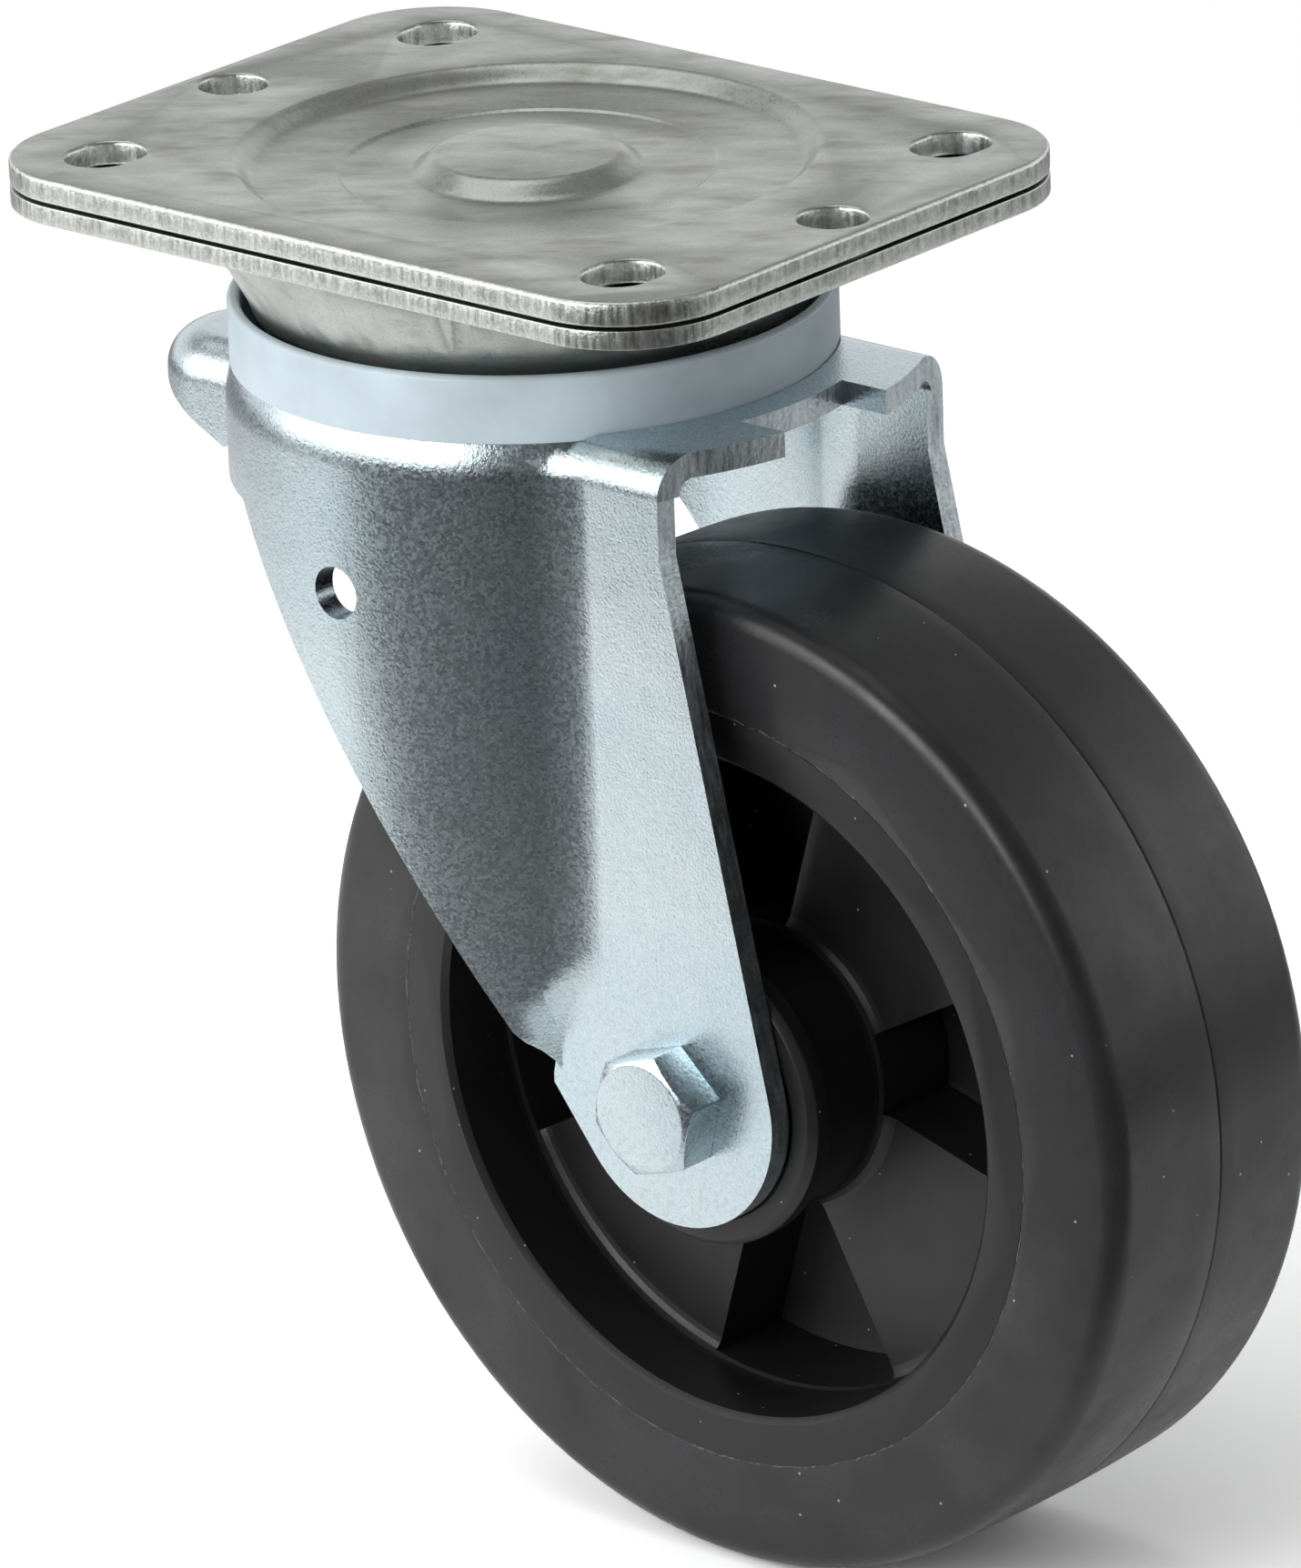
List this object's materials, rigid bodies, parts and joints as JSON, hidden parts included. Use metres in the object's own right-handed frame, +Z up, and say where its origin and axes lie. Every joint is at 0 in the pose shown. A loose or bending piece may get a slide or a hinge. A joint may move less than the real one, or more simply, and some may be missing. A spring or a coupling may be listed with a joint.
{
  "type": "swivel_castor",
  "caption": "Heavy-duty swivel castor with a slotted top plate, a pressed zinc-plated fork and a black rubber-tyred wheel on roller bearings",
  "frame": {"origin": "centre of the mounting plate's top face, on the swivel axis", "axes": "+Z up out of the plate, +X along the axle towards the bolt's head, +Y the way the wheel trails"},
  "size_m": [0.108, 0.205, 0.215],
  "materials": {
    "zinc_plated": "bright zinc plating",
    "worn_zinc": "handled zinc plating",
    "bearing_steel": "ground steel",
    "grey_seal": "smooth moulded",
    "black_polyamide": "semi-matt moulded",
    "black_rubber": "smooth moulded",
    "natural_nylon": "moulded"
  },
  "bodies": {
    "plate": {"top_plate": "worn_zinc", "race_plate": "zinc_plated", "king_pin": "bearing_steel", "lower_race": "bearing_steel"},
    "upper_ball_ring": {"upper_balls": "bearing_steel"},
    "lower_ball_ring": {"lower_balls": "bearing_steel"},
    "fork_frame": {"fork": "zinc_plated", "dust_ring": "grey_seal", "axle_bolt": "zinc_plated", "nut_washer": "zinc_plated", "axle_nut": "zinc_plated", "nut_lock_insert": "natural_nylon", "axle_tube": "bearing_steel"},
    "wheel": {"wheel_centre": "black_polyamide", "tyre": "black_rubber", "bearing_sleeve": "bearing_steel", "near_hub_seal": "black_polyamide", "far_hub_seal": "black_polyamide"},
    "roller_set": {"bearing_rollers": "bearing_steel", "roller_cage": "natural_nylon"}
  },
  "joints": [
    {"name": "swivel", "type": "hinge", "parent": "plate", "child": "fork_frame", "pos_m": [0, 0, -0.028], "axis": [0, 0, 1], "continuous": true},
    {"name": "upper_ball_roll", "type": "hinge", "parent": "plate", "child": "upper_ball_ring", "pos_m": [0, 0, -0.028], "axis": [0, 0, 1], "continuous": true},
    {"name": "lower_ball_roll", "type": "hinge", "parent": "plate", "child": "lower_ball_ring", "pos_m": [0, 0, -0.0365], "axis": [0, 0, 1], "continuous": true},
    {"name": "wheel_spin", "type": "hinge", "parent": "fork_frame", "child": "wheel", "pos_m": [0, 0.052, -0.135], "axis": [1, 0, 0], "continuous": true},
    {"name": "roller_spin", "type": "hinge", "parent": "fork_frame", "child": "roller_set", "pos_m": [0, 0.052, -0.135], "axis": [1, 0, 0], "continuous": true}
  ],
  "couplings": [
    {"joint": "upper_ball_roll", "follows": "swivel", "ratio": 0.5},
    {"joint": "lower_ball_roll", "follows": "swivel", "ratio": 0.5},
    {"joint": "roller_spin", "follows": "wheel_spin", "ratio": 0.583}
  ]
}
